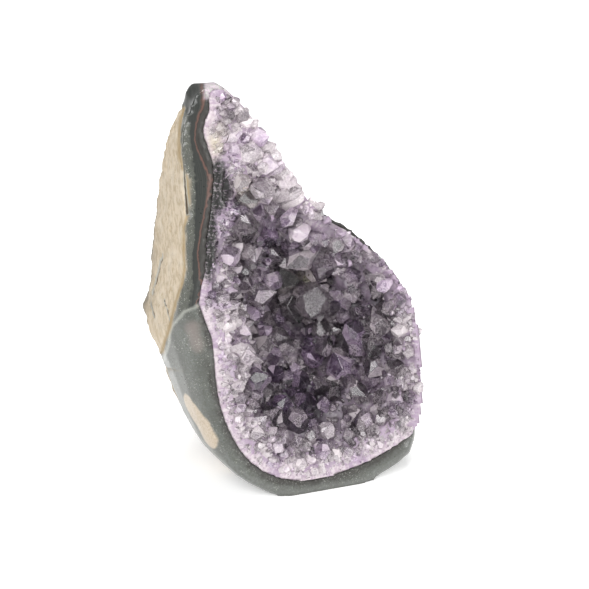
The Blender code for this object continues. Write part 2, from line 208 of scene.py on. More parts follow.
class Finish:
    def __init__(self, name):
        self.material = bpy.data.materials.new(name)
        self.material.use_nodes = True
        self.nodes, self.links = self.material.node_tree.nodes, self.material.node_tree.links
        self.nodes.clear()

    def add(self, kind, settings, inputs, output=None):
        node = self.nodes.new(kind)
        for key, value in settings.items():
            if key == "stops":  # of a colour ramp
                ramp = node.color_ramp
                while len(ramp.elements) < len(value):
                    ramp.elements.new(1.0)
                for element, (place, colour) in zip(ramp.elements, value):
                    element.position, element.color = place, colour
            else:
                setattr(node, key, value)
        sockets = [socket for socket in node.inputs if socket.enabled]
        for key, value in inputs.items():
            named = (socket for socket in sockets if socket.name == key)
            socket = sockets[key] if isinstance(key, int) else next(named)
            if isinstance(value, Wire):
                self.links.new(value.socket, socket)
            else:
                socket.default_value = value
        outputs = [socket for socket in node.outputs if socket.enabled]
        found = next(socket for socket in outputs if output in (None, socket.name))
        return Wire(self, found)

    def place(self):  # in millimetres
        metres = self.add("ShaderNodeTexCoord", {}, {}, "Object")
        return self.add("ShaderNodeVectorMath", {"operation": "SCALE"}, {0: metres, "Scale": 1000.0})

    def stretched(self, vector, turn, lengths):
        inputs = {"Vector": vector, "Rotation": turn, "Scale": lengths}
        return self.add("ShaderNodeMapping", {"vector_type": "TEXTURE"}, inputs)

    def attribute(self, name, output="Fac"):
        return self.add("ShaderNodeAttribute", {"attribute_name": name}, {}, output)

    def noise(self, vector, scale, detail=2.0, roughness=0.5, distortion=0.0):
        inputs = {"Vector": vector, "Scale": scale, "Detail": detail, "Roughness": roughness}
        return self.add("ShaderNodeTexNoise", {}, {**inputs, "Distortion": distortion}, "Fac")

    def mix(self, share, first, second):
        settings = {"data_type": "RGBA", "clamp_factor": True}
        return self.add("ShaderNodeMix", settings, {"Factor": share, "A": first, "B": second}, "Result")

    def ramp(self, value, stops):
        return self.add("ShaderNodeValToRGB", {"stops": stops}, {"Fac": value}, "Color")

    def bump(self, height, strength, distance):
        return self.add("ShaderNodeBump", {}, {"Height": height, "Strength": strength, "Distance": distance})

    def shader(self, **inputs):
        named = {key.replace("_", " "): value for key, value in inputs.items()}
        return self.add("ShaderNodeBsdfPrincipled", {}, named)

    def blend(self, share, first, second):
        return self.add("ShaderNodeMixShader", {}, {0: share, 1: first, 2: second})

    def surface(self, shader):
        output = self.nodes.new("ShaderNodeOutputMaterial")
        self.links.new(shader.socket, output.inputs["Surface"])
        return self.material


# Shared steps of the pieces

def newPiece(name, bm, finish, nodes, values):  # values: for each attribute, its points' numbers
    piece = inScene(name, meshOf(name, bm))
    piece.data.materials.append(finish)
    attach(piece, "root")
    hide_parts(*nodes)
    for key, list_ in values.items():
        keepValues(piece, key, list_)
    print(name + ":", len(piece.data.polygons), "faces")
    return piece


def mergedCopy(node):
    bm = bmesh.new()
    bm.from_mesh(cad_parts[node].data)
    bmesh.ops.remove_doubles(bm, verts=bm.verts, dist=weldDistance)
    return bm


def evenlyMeshed(bm, voxel):  # the same body with a fine even mesh
    coarse = inScene("coarse", meshOf("coarse", bm))
    remesh = coarse.modifiers.new("voxels", "REMESH")
    remesh.mode = "VOXEL"
    remesh.voxel_size = voxel
    bpy.context.view_layer.update()
    fine = bpy.data.meshes.new_from_object(coarse.evaluated_get(bpy.context.evaluated_depsgraph_get()))
    bpy.data.objects.remove(coarse)
    made = bmesh.new()
    made.from_mesh(fine)
    bpy.data.meshes.remove(fine)
    for polygon in made.faces:
        polygon.smooth = True
    return made


def smooth(bm, verts, times, swell=0.0):  # a swell of about 0.52 gives back what smoothing takes off
    for _ in range(times):
        for factor in (0.5, -swell) if swell else (0.5,):
            bmesh.ops.smooth_vert(
                bm, verts=verts, factor=factor, use_axis_x=True, use_axis_y=True, use_axis_z=True
            )


def keepValues(piece, name, values, domain="POINT"):
    made = piece.data.attributes.new(name, "FLOAT", domain)
    made.data.foreach_set("value", values)


cadCrust = BVHTree.FromBMesh(mergedCopy("amethyst_crust"))
cadRind = BVHTree.FromBMesh(mergedCopy("rind"))
print("frame, camera and helpers ready")

# Rind: rock, with an agate lining that is sawn and polished in front

rind = dict(
    voxel=0.85 * mm,
    smoothing=9,
    swell=0.53,
    flatBand=0.35,  # mm; shallower places are the sawn face
    baseBand=0.5 * mm,  # lower places are the sawn foot
    seal=1.2 * mm,  # the rim closes on the crust over gaps up to this
    layers=(0.0, 1.6, 6.0, 8.4),  # mm from the crust: its edge, the red line, the agate's end, the polish's
    wobble=7 * mm,  # spacing of the waves in the borders between finishes
    # Over these, bandRows gives way to the plain distance from the crust.
    rowsAcross=(0.0, 6.0),  # mm across the face
    rowsDown=(366, 372),  # pixels
    rowsBack=(34.0, 40.0),  # mm behind the face
    facetTop=64.0,  # mm up the face, below which the left shoulder is polished too
    facetDepth=23.0,  # mm behind the face, where that polish ends
    polishEnd=(2.85, 3.15),  # in layers
    sideFrom=14.0,  # mm left of the face's foot, where the rock is fibrous and not lumpy
    sideBack=(20.0, 34.0),  # mm behind the face, where it is lumpy again
    behind=(22.0, 36.0),  # mm behind the face, where the rock's colour turns to that of the back
    lumpHeight=0.9 * mm,
    lumpSpacing=9.0 * mm,
    grainHeight=0.34 * mm,
    grainSpacing=2.6 * mm,
    fibreHeight=0.34 * mm,
    fibreSpacing=1.1 * mm,
    fibreLength=14.0,  # times the spacing
    fibreWay=Vector((0.28, -0.42, -1.0)).normalized(),
    pitDepth=0.6 * mm,
    pitSpacing=4.2 * mm,
    pitSize=(0.12, 0.34),  # times the spacing
    reliefLimits=(-0.8 * mm, 0.6 * mm),
    ledge=0.25 * mm,  # how far the rock lies under the polish beside it
    ledgeEnd=(3.6, 5.0),  # in layers
    seam=(1.2, 2.0),  # mm from the crust, where the stone is dull
    # Open cracks in the rock, as seen in the photograph: pixels, width and depth in mm.
    cracks=(
        (((161, 256), (158, 268), (155, 281), (152, 292)), 0.8, 1.2),
        (((149, 300), (151, 308), (153, 316)), 0.75, 1.1),
        (((183, 128), (181, 140), (180, 152)), 0.6, 1.0),
        (((182, 166), (184, 180), (187, 200), (189, 214)), 0.6, 1.0),
        (((163, 300), (166, 310), (168, 320)), 0.35, 0.4),
    ),
    patchPixels=((189, 404), (201, 424), (209, 440)),  # the tan patch on the facet, down its middle
    patchWidth=3.9,  # mm either side of that line
    blushPixels=((192, 328), (198, 346)),
    # White quartz on the peak: pixels across where it begins and ends, and down where it ends.
    quartzBegins=(203, 206),
    quartzEnds=(246, 250),
    quartzDown=(96, 101),
)

# The layers in the polished face on the left, as seen in the photograph. At each pixel down:
# pixels across to the crust's edge, the red line, the agate's outer edge and the rock.
bandRows = (
    (84, 204, 203, 180, 166), (100, 209, 205, 180, 168),
    (108, 210, 203, 186, 185), (117, 207, 198, 188, 182),
    (125, 204, 196, 190, 181), (140, 202, 194, 191, 180),
    (152, 207, 198, 193, 180), (168, 215, 206, 194, 183),
    (180, 217, 210, 195, 190), (195, 214, 208, 196, 191),
    (215, 210, 204, 196, 190), (228, 209, 201, 195, 185),
    (254, 206, 197, 193, 185), (270, 207, 199, 193, 186),
    (286, 205, 200, 194, 183), (302, 199, 195, 193, 176),
    (330, 206, 204, 190, 170), (352, 212, 210, 186, 163),
    (368, 214, 212, 180, 148),
)
# The upper edge of the smooth facet at the lower left, from the crust's edge down to the outline.
facetLine = ((203, 301), (196, 309), (186, 313), (179, 319), (172, 329), (169, 344), (166, 360), (150, 372))


def signedDistance(x, y, line):  # in pixels, and positive on the line's lower right
    best = (1e9, 0.0)
    for (x0, y0), (x1, y1) in zip(line, line[1:]):
        dx, dy = x1 - x0, y1 - y0
        share = min(max(((x - x0) * dx + (y - y0) * dy) / (dx * dx + dy * dy), 0.0), 1.0)
        away = math.hypot(x - x0 - dx * share, y - y0 - dy * share)
        side = dx * (y - y0) - dy * (x - x0)
        best = min(best, (away, -math.copysign(1.0, side)))
    return best[0] * best[1]


def layerByRow(x, y):  # 0 at the crust's edge, 1 on the red line, 2 at the agate's end and 3 at the rock
    rows = [row for row in bandRows if row[0] <= y] or [bandRows[0]]
    above = rows[-1]
    below = bandRows[min(bandRows.index(above) + 1, len(bandRows) - 1)]
    share = min(max((y - above[0]) / max(below[0] - above[0], 1), 0.0), 1.0)
    ends = [a + (b - a) * share for a, b in zip(above[1:], below[1:])]
    for step, (start, end) in enumerate(zip(ends, ends[1:])):
        if x >= end:
            return step + (start - x) / max(start - end, 1.0)
    return 3 + (ends[3] - x) / 10


def layerByDistance(distance):
    stops = rind["layers"]
    for step, (start, end) in enumerate(zip(stops, stops[1:])):
        if distance < end:
            return step + (distance - start) / (end - start)
    return 3 + (distance - stops[3]) / 4


def lineOn(tree, pixels):
    return [seenOn(tree, *pixel)[0] for pixel in pixels]


def distanceToLine(point, line):
    best = 1.0
    for start, end in zip(line, line[1:]):
        along = end - start
        share = min(max((point - start).dot(along) / along.length_squared, 0.0), 1.0)
        best = min(best, (point - start - along * share).length)
    return best


def fibresAt(place):
    way = rind["fibreWay"]
    along = place.dot(way)
    squeezed = place - way * along * (1 - 1 / rind["fibreLength"])
    return noise.fractal(squeezed / rind["fibreSpacing"], 0.8, 2.0, 3)


def stoneMarks(place, normal, distance):  # what finish and relief need to know about a point of the stone
    across, up, back = faceCoordinates(place)
    wobble = noise.fractal(place / rind["wobble"], 0.8, 2.0, 3)
    x, y = pixelOf(place)
    facing = smoothStep(0.0, 0.2, normal.dot((cameraPlace - place).normalized()))
    inRows = facing * (1 - smoothStep(*rind["rowsAcross"], across)) * (1 - smoothStep(*rind["rowsDown"], y))
    inRows *= 1 - smoothStep(*rind["rowsBack"], back)
    byDistance = layerByDistance(distance / mm)
    layer = byDistance + (layerByRow(x, y) - byDistance) * inRows
    onFacet = signedDistance(x, y, facetLine) + wobble * 2
    below = (1 - smoothStep(-2.0, 2.0, up - rind["facetTop"])) * (1 - inRows)
    polish = max(below, inRows * smoothStep(-1.0, 1.0, onFacet))
    polish *= 1 - smoothStep(-3.0, 3.0, back - rind["facetDepth"] - wobble * 3)
    polish = max(polish, 1 - smoothStep(*rind["polishEnd"], layer + wobble * 0.12))
    quartz = smoothStep(*rind["quartzBegins"], x) * (1 - smoothStep(*rind["quartzDown"], y)) * facing
    return dict(
        layer=min(layer, 9.0),
        lineShare=inRows,
        rough=1 - polish,
        facet=onFacet * inRows + (1 - inRows) * (rind["facetTop"] - up) * 2,
        quartz=quartz * (1 - smoothStep(*rind["quartzEnds"], x)),
        behind=smoothStep(*rind["behind"], back + wobble * 5),
        seam=1 - smoothStep(*rind["seam"], distance / mm),
    )


def stoneRelief(place, layer):  # lumps, grains, fibres and pits, and the ledge beside the polish
    across, _, back = faceCoordinates(place)
    side = smoothStep(0.0, 6.0, -across - rind["sideFrom"]) * (1 - smoothStep(*rind["sideBack"], back))
    lump = noise.fractal(place / rind["lumpSpacing"], 0.9, 2.1, 4) - 0.1
    grain = noise.fractal(place / rind["grainSpacing"], 0.7, 2.0, 3) - 0.3
    height = lump * rind["lumpHeight"] * (1 - 0.8 * side) + grain * rind["grainHeight"] * (1 - 0.5 * side)
    height += (fibresAt(place) - 0.4) * rind["fibreHeight"] * side
    cell = noise.voronoi(place / rind["pitSpacing"])[0][0]
    height -= (1 - smoothStep(*rind["pitSize"], cell)) * rind["pitDepth"] * (1 - side)
    height -= rind["ledge"] * (1 - smoothStep(*rind["ledgeEnd"], layer))
    low, high = rind["reliefLimits"]
    return min(max(height, low), high)


def makeRind():
    bm = evenlyMeshed(mergedCopy("rind"), rind["voxel"])
    isFlat = [abs(faceCoordinates(vert.co)[2]) < rind["flatBand"] for vert in bm.verts]
    isBase = [vert.co.z < rind["baseBand"] for vert in bm.verts]
    loose = [vert for vert, flat, base in zip(bm.verts, isFlat, isBase) if not flat and not base]
    smooth(bm, loose, rind["smoothing"], rind["swell"])
    bm.normal_update()
    tree = BVHTree.FromBMesh(bm)
    cracks = [(lineOn(tree, pixels), width * mm, depth * mm) for pixels, width, depth in rind["cracks"]]
    patch, blush = lineOn(tree, rind["patchPixels"]), lineOn(tree, rind["blushPixels"])
    values, moves = {}, []
    low, high = cadBox
    for vert, base in zip(bm.verts, isBase):
        place = vert.co.copy()
        hit, _, _, distance = cadCrust.find_nearest(place)
        marks = stoneMarks(place, vert.normal, distance)
        sealed = distance < rind["seal"]
        height = 0.0 if base or sealed else stoneRelief(place, marks["layer"]) * marks["rough"]
        crack = 0.0
        for line, width, depth in cracks:
            away = distanceToLine(place, line)
            if away < width * 2:
                cut = 1 - smoothStep(0.2 * width, 1.6 * width, away)
                height -= depth * cut
                crack = max(crack, cut)
        if base:
            moves.append(Vector((place.x, place.y, low.z)))
        elif sealed:
            moves.append(place.lerp(hit, 0.92))  # close to the crust and not in it
        else:
            moves.append(place + vert.normal * height)
        marks.update(crack=crack, sawn=1.0 if base else 0.0)
        marks.update(patch=distanceToLine(place, patch) / mm, blush=distanceToLine(place, blush) / mm)
        for key, value in marks.items():
            values.setdefault(key, []).append(value)
    for vert, place in zip(bm.verts, moves):
        vert.co = Vector([min(max(place[i], low[i]), high[i]) for i in range(3)])
    return newPiece("rindRock", bm, rindFinish(), ["rind"], values)


rindLook = colours(
    strip=(46, 43, 40), redLine=(106, 76, 68),
    agate=(42, 44, 42), agatePale=(64, 66, 62),
    greenGrey=(80, 82, 75), facet=(95, 98, 95),
    facetDark=(80, 81, 77), speck=(168, 170, 162),
    quartz=(196, 178, 192), tan=(190, 176, 155),
    tanDark=(146, 130, 104), tanPale=(198, 189, 174),
    stain=(144, 124, 88), shadow=(80, 68, 54),
    crackFill=(150, 158, 158), patch=(186, 171, 152),
    blush=(138, 126, 122), back=(142, 134, 120),
    backDark=(104, 98, 88),
)

# Patches over the rock: colour, the pattern's scale, detail and roughness, its ends, and how strong they are.
tanPatches = (
    ("tanPale", (0.16, 4.0, 0.6), (0.46, 0.66), 0.4),
    ("stain", (0.24, 4.0, 0.7), (0.56, 0.70), 0.45),
    ("shadow", (1.6, 5.0, 0.75), (0.62, 0.70), 0.2),
)
backPatches = (
    ("tanPale", (2.3, 5.0, 0.75), (0.54, 0.66), 0.35),
    ("shadow", (1.4, 4.0, 0.7), (0.57, 0.66), 0.5),
    ("stain", (0.07, 4.0, 0.6), (0.52, 0.68), 0.35),
)


def stonePatterns(stone):  # what the parts of the stone's finish share
    spot = stone.place()
    fibres = stone.stretched(spot, (-0.42, -0.28, 0.0), (1.0, 1.0, 14.0))
    return SimpleNamespace(
        spot=spot,
        layer=stone.attribute("layer"),
        wide=stone.noise(spot, 0.10, 3.0) - 0.5,
        fine=stone.noise(spot, 0.7, 3.0) - 0.5,
        mottle=stone.noise(spot, 1.5, 4.0, 0.7),
        specks=stone.noise(spot, 1.9, 5.0, 0.8).between(0.56, 0.64),
        fibre=stone.noise(fibres, 0.85, 4.0, 0.6),
    )


def agateColour(stone, on):  # thin rings, the red line, and speckled green-grey outside them
    look = rindLook
    wavy = on.layer + on.fine * 0.35
    bands = stone.mix(wavy.between(0.9, 1.2), look["strip"], look["agate"])
    lines = {"W": on.layer * 5 + on.fine * 0.8, "Scale": 1.3, "Detail": 4.0, "Roughness": 0.6}
    rings = stone.add("ShaderNodeTexNoise", {"noise_dimensions": "1D"}, lines, "Fac")
    bands = stone.mix(rings.between(0.42, 0.66) * 0.6, bands, look["agatePale"])
    bands = stone.mix(wavy.near(1.0, 0.2) * stone.attribute("lineShare") * 0.75, bands, look["redLine"])
    speckled = stone.mix(on.mottle.between(0.40, 0.62), look["greenGrey"], look["facetDark"])
    strings = stone.noise(on.spot, 0.5, 3.0, 0.7).near(0.5, 0.06)
    strings = (strings + on.layer.near(2.75, 0.35) * 0.6) * on.specks
    speckled = stone.mix(on.specks * 0.35 + strings * 0.8, speckled, look["speck"])
    return stone.mix((on.layer + on.fine * 0.8 + on.wide).between(1.9, 2.25), bands, speckled)


def facetColour(stone, on):  # the smooth grey facet at the lower left, dark along the crust
    look = rindLook
    colour = stone.mix(on.mottle.between(0.35, 0.65), look["facet"], look["greenGrey"])
    clouds = stone.noise(on.spot, 0.13, 3.0).between(0.42, 0.6) * 0.6
    colour = stone.mix(clouds, colour, look["facetDark"])
    strip = 1 - (on.layer + on.fine * 0.5 + on.wide).between(0.75, 1.35)
    colour = stone.mix(strip * 0.85, colour, look["strip"])
    blush = 1 - (stone.attribute("blush") + on.wide * 5).between(0.5, 4.0)
    colour = stone.mix(blush * 0.5, colour, look["blush"])
    grains = stone.noise(on.spot, 0.16, 3.0, 0.6).between(0.42, 0.58) * 0.6 + 0.2
    return stone.mix(on.specks * grains, colour, look["speck"])


def polishedColour(stone, on):  # agate and facet with the pale line between them, the tan patch and the peak
    look = rindLook
    edge = stone.attribute("facet") + on.fine * 2
    colour = stone.mix(edge.between(-0.8, 0.8), agateColour(stone, on), facetColour(stone, on))
    paleLine = edge.near(-1.5, 3.0) * on.layer.between(0.2, 1.0)
    colour = stone.mix(paleLine * 0.5 * stone.attribute("lineShare"), colour, look["speck"])
    end = rind["patchWidth"]
    patch = 1 - (stone.attribute("patch") + on.wide * 1.6 + on.fine * 0.8).between(end - 1.1, end)
    patchTone = stone.mix(on.mottle.between(0.4, 0.65) * 0.5, look["patch"], look["tanDark"])
    colour = stone.mix(patch * 0.85, colour, patchTone)
    quartz = stone.mix(on.mottle.between(0.4, 0.6), look["quartz"], look["speck"])
    return stone.mix(stone.attribute("quartz"), colour, quartz)


def patched(stone, on, colour, patches):
    for name, pattern, ends, share in patches:
        colour = stone.mix(stone.noise(on.spot, *pattern).between(*ends) * share, colour, rindLook[name])
    return colour


def rockColour(stone, on):  # tan and fibrous at the side, grey-brown behind, with the cracks
    look = rindLook
    tan = stone.mix(on.fibre.between(0.40, 0.64) * 0.5, look["tan"], look["tanDark"])
    tan = stone.mix(on.fibre.near(0.57, 0.02) * 0.18, tan, look["shadow"])
    clouds = stone.noise(on.spot, 0.14, 6.0, 0.75).between(0.30, 0.72)
    back = stone.mix(clouds, look["back"], look["backDark"])
    behind, crack = stone.attribute("behind"), stone.attribute("crack")
    rock = stone.mix(behind, patched(stone, on, tan, tanPatches), patched(stone, on, back, backPatches))
    # the yellow-brown side wall of the ledge just past the polish: its own colour, darkened with painted
    # shade
    rock = stone.mix(on.layer.near(3.2, 0.35) * (1 - behind) * 0.8, rock, look["stain"])
    rock = stone.mix(crack.near(0.45, 0.4) * 0.6, rock, look["crackFill"])
    return stone.mix(crack.between(0.45, 0.85), rock, look["shadow"])


def rindFinish():
    stone = Finish("rindStone")
    on = stonePatterns(stone)
    rough, seam, sawn = [stone.attribute(name) for name in ("rough", "seam", "sawn")]
    colour = stone.mix(rough, polishedColour(stone, on), rockColour(stone, on))
    colour = stone.mix(sawn * 0.7, colour, rindLook["greenGrey"])
    roughness = rough * 0.5 + 0.24 + seam * (1 - rough) * 0.35
    roughness = roughness + stone.noise(on.spot, 0.9, 2.0) * 0.12 + sawn * 0.25
    grain = stone.noise(on.spot, 2.6, 5.0, 0.65) * rough * 0.6 + on.fibre * rough * 1.1
    normal = stone.bump(grain, 0.6, 0.42 * mm)
    polish = (1 - rough) * (1 - seam) * 0.3
    return stone.surface(stone.shader(
        Base_Color=colour, Roughness=roughness, Normal=normal, Coat_Roughness=0.12, Coat_Weight=polish
    ))


rindPiece = makeRind()
rindTree = BVHTree.FromPolygons(
    [vert.co for vert in rindPiece.data.vertices],
    [polygon.vertices[:] for polygon in rindPiece.data.polygons],
)

# Crust bed: the quartz that the crystals grow from, sawn flat round the opening

bed = dict(
    voxel=0.9 * mm,
    smoothing=44,
    border=0.45,  # mm; shallower places are the sawn border
    rim=2.2,  # mm from the stone; closer places are left as they are
    sinkFrom=(2.0, 5.0),  # mm from the stone, where the bed begins to lie lower
    sink=1.5 * mm,  # how far the bed lies under the tips
    lumpHeight=0.5 * mm,
    lumpSpacing=3.2 * mm,
)


def makeBed():
    bm = evenlyMeshed(mergedCopy("amethyst_crust"), bed["voxel"])
    bm.normal_update()
    fromRim = [cadRind.find_nearest(vert.co)[3] / mm for vert in bm.verts]
    inHollow = []
    for vert, distance in zip(bm.verts, fromRim):
        isBorder = abs(faceCoordinates(vert.co)[2]) < bed["border"] and vert.normal.dot(toFront) > 0.9
        inHollow.append(not isBorder and distance > bed["rim"])
    smooth(bm, [vert for vert, loose in zip(bm.verts, inHollow) if loose], bed["smoothing"])
    bm.normal_update()
    moves = []
    for vert, loose, distance in zip(bm.verts, inHollow, fromRim):
        place = vert.co.copy()
        if loose:
            lump = noise.fractal(place / bed["lumpSpacing"], 0.8, 2.0, 3) * bed["lumpHeight"]
            moves.append(place + vert.normal * (lump - bed["sink"]) * smoothStep(*bed["sinkFrom"], distance))
        else:
            moves.append(cadCrust.find_nearest(place)[0])
    for vert, place in zip(bm.verts, moves):
        vert.co = place
    return bm, fromRim


bedLook = colours(
    white=(194, 184, 188), lilac=(172, 154, 167),
    purple=(134, 110, 142), grey=(140, 134, 136),
    cream=(194, 186, 146), hollow=(44, 38, 45),
    darkZone=(26, 27, 24),
)


def bedFinish():
    look = bedLook
    quartz = Finish("quartzBed")
    spot = quartz.place()
    root = quartz.attribute("rimPoint", "Vector")
    streaks = quartz.noise(root, 1.1, 4.0, 0.65)
    wide = quartz.noise(spot, 0.22, 3.0)
    mottle = quartz.noise(spot, 0.9, 4.0, 0.65)
    colour = quartz.mix((streaks * 0.5 + mottle * 0.5).between(0.42, 0.60), look["white"], look["lilac"])
    colour = quartz.mix(mottle.between(0.54, 0.68) * 0.7, colour, look["grey"])
    inwards = quartz.attribute("fromRim") * 0.04 + wide + streaks * 0.4
    colour = quartz.mix(inwards.between(0.72, 0.95) * 0.55, colour, look["purple"])
    colour = quartz.mix(quartz.attribute("cream") * 0.5, colour, look["cream"])
    colour = quartz.mix(quartz.attribute("shade"), colour, look["hollow"])
    wisps = quartz.noise(root, 1.6, 4.0, 0.7) * 0.4 + quartz.noise(spot, 1.1, 4.0, 0.7) * 0.6
    ragged = quartz.noise(spot, 0.6, 4.0, 0.7) - 0.5
    dark = (quartz.attribute("darkZone") + ragged * 0.7).between(0.16, 0.55)
    colour = quartz.mix(dark * (1 - wisps.between(0.5, 0.6) * 0.4), colour, look["darkZone"])
    height = streaks * 0.7 + quartz.noise(spot, 1.8, 3.0) * 0.3
    normal = quartz.bump(height, 0.45, 0.4 * mm)
    return quartz.surface(quartz.shader(Base_Color=colour, Roughness=0.3, IOR=1.544, Normal=normal))


# Crystals

# Where the crystals look pale or dark in the photograph: pixel, half width and half height, and how much.
toneSpots = (
    (285, 258, 32, 30, -0.14), (306, 404, 42, 28, -0.58),
    (305, 330, 36, 40, -0.14), (372, 330, 34, 60, -0.16),
    (340, 290, 60, 20, -0.12), (228, 102, 24, 22, -0.04),
    (258, 148, 34, 36, 0.34), (238, 205, 14, 12, -0.16),
    (225, 320, 14, 14, 0.10), (300, 300, 20, 10, -0.12),
    (290, 196, 30, 16, 0.24), (222, 250, 16, 60, 0.12),
    (232, 375, 20, 60, 0.12), (310, 470, 90, 14, 0.16),
    (262, 432, 24, 16, 0.22), (245, 340, 12, 16, 0.20),
    (262, 154, 14, 10, 0.20),
)
rimLight = dict(amount=0.26, reach=(3.0, 13.0), base=0.40)
darkZones = ((218, 187, 13, 27), (209, 238, 8, 44))  # dark glassy border: pixel, half width and half height
creamSpots = ((306, 279, 13, 8), (215, 142, 7, 15), (243, 190, 6, 6))


def darkAt(x, y):
    return max(spotShare(x, y, *zone) for zone in darkZones)


def spotShare(x, y, middleX, middleY, width, height):
    return math.exp(-(((x - middleX) / width) ** 2) - ((y - middleY) / height) ** 2)


def lightnessAt(place, distance):
    x, y = pixelOf(place)
    low, high = rimLight["reach"]
    light = rimLight["base"] + rimLight["amount"] * (1 - smoothStep(low, high, distance))
    light += 0.34 * noise.noise(place / (7 * mm)) + 0.22 * noise.noise(place / (3 * mm))
    light += sum(amount * spotShare(x, y, *spot) for *spot, amount in toneSpots)
    return min(max(light - 0.9 * darkAt(x, y), 0.0), 1.0)


def creamAt(place):
    x, y = pixelOf(place)
    return min(sum(spotShare(x, y, *spot) for spot in creamSpots), 1.0)


crystalShape = dict(
    templates=26,
    seed=11,
    faceTilt=math.radians(51.8),  # a rhombohedral face's normal from the crystal's axis
    # How far out each of the six cuts lies, in radii: three large faces and three small ones.
    largeFaces=(-0.14, 0.06),
    smallFaces=(0.0, 0.24),
    squash=(0.78, 1.12),
    stem=(-2.4, 2.2),  # in radii: the root's end and the top before the cuts, with the shoulder at 0
    stemRadii=(0.86, 1.0),
    rootEnds=(2.4, 1.8, 1.3, 0.9, 0.5, 0.25, 0.1),  # in radii, the longest first
    rootWidth=0.45,  # of a root that is drawn in
    bevel=0.022,
    paintedGlintShare=0.035,  # the share of faces with a painted glint
    # the tone of a face with a painted glint, brighter than any other face
    paintedGlintTone=1.3,
    # the narrow bevel faces' painted light and shade, with a smaller spread
    paintedBevelLight=(0.3, 0.7),
)

growth = dict(
    seed=23,
    # Radius range in mm, tries, packing and shoulder height in radii, from the largest crystals down.
    passes=(
        (5.2, 7.6, 1100, 0.58, -0.4, 0.1),
        (3.6, 5.2, 3200, 0.58, -0.4, 0.15),
        (2.2, 3.6, 6500, 0.60, -0.5, 0.15),
        (1.0, 2.2, 9000, 0.62, -0.5, 0.3),
        (0.7, 1.1, 12000, 0.62, -0.4, 0.4),
    ),
    wander=0.30,
    scatter=0.4,  # mm either way
    darkest=0.5,  # none where the dark glassy border is darker
    fullSize=(4.0, 17.0),  # mm from the rim, over which half size grows to full size
    peak=(88.0, 100.0),  # mm up the face, where they are larger again
    peakReach=(4.0, 9.0),  # mm from the rim
    toOpening=Vector((0.0, -0.38, 0.10)),
    borderStart=(0.5, 1.8),  # mm from the rim, where crystals begin
    borderSink=0.85,  # in radii: how far those on the border lie under it
    borderReach=(3.0, 9.0),  # mm from the rim, where that ends
)

# Close to the stone on the left and at the bottom, a crystal may not hide it from the front.
nearStone = dict(reach=8, left=250, bottom=425, edge=0.8)  # mm, pixels, and mm for those over the edge

# Crystals that lie along the border, from the rim towards the hollow.
rimTeeth = dict(
    reach=(0.8, 9.5),  # mm from the rim
    radius=(1.3, 3.2),
    flat=1.2,  # mm from the sawn face at most
    tries=3200,
    packing=0.5,
    darkest=0.3,
    shoulder=(0.0, 1.2),  # in radii
    sink=0.66,
    inwards=1.0,
    outwards=0.42,
    wander=0.34,
)

# Crystals that stand out in the photograph: pixel, radius in mm, height of the shoulder in radii,
# and how far the tip leans right and up in the picture.
heroes = (
    (252, 152, 4.6, -0.06, 0.2, 0.2), (262, 128, 4.0, 0.00, 0.3, 0.3),
    (270, 165, 4.4, -0.06, 0.3, 0.0), (283, 142, 3.6, 0.00, 0.5, 0.3),
    (242, 182, 3.8, -0.12, 0.0, 0.1), (296, 196, 5.4, 0.00, 0.1, 0.3),
    (273, 208, 3.8, 0.00, 0.1, 0.2), (300, 232, 4.2, 0.06, 0.2, 0.2),
    (341, 368, 5.4, 0.24, 0.0, 0.8), (355, 332, 4.8, 0.18, 0.1, 0.5),
    (322, 330, 4.2, 0.06, 0.0, 0.4), (310, 316, 4.0, 0.06, -0.1, 0.4),
    (346, 243, 3.6, 0.12, 0.1, 0.1), (400, 300, 3.2, 0.06, 0.2, 0.1),
    (262, 345, 4.4, 0.00, 0.1, 0.4), (243, 330, 3.4, -0.06, 0.0, 0.3),
    (300, 380, 3.8, 0.12, 0.1, 0.4), (372, 380, 3.4, 0.12, 0.2, 0.3),
    (280, 440, 4.0, 0.00, 0.1, 0.6), (258, 432, 3.6, -0.06, 0.1, 0.4),
    (326, 432, 3.8, 0.12, 0.0, 0.6), (366, 420, 3.8, 0.06, 0.1, 0.4),
    (395, 400, 3.4, 0.06, 0.2, 0.3),
)

# Crystals over the edge between the peak and the shoulder: across and up the face, and radius, in mm.
edgeLean = Vector((0.5, -0.8, 0.5))
edgeCrystals = (
    (-10.8, 130.6, 2.2), (-8.0, 129.2, 2.1), (-5.6, 125.0, 3.0),
    (-2.8, 121.8, 2.4), (-0.8, 116.6, 3.4), (2.4, 113.2, 2.6),
    (3.6, 107.6, 3.6), (7.0, 103.6, 2.8), (8.2, 98.6, 3.8),
    (-12.4, 131.6, 1.6), (-9.6, 128.0, 1.7), (-7.0, 126.6, 2.4),
    (-4.4, 122.2, 2.6), (-2.2, 118.6, 3.0), (0.6, 113.6, 3.2),
    (2.6, 109.6, 3.4), (5.2, 104.8, 3.2), (7.2, 100.6, 3.2),
    (10.0, 96.6, 3.0), (16.6, 89.4, 2.6), (19.4, 86.2, 2.4),
    (22.6, 82.6, 2.6), (26.0, 79.0, 2.2), (29.4, 75.0, 2.2),
    (32.4, 71.0, 2.4), (35.0, 66.0, 2.2), (37.0, 60.4, 2.0),
)


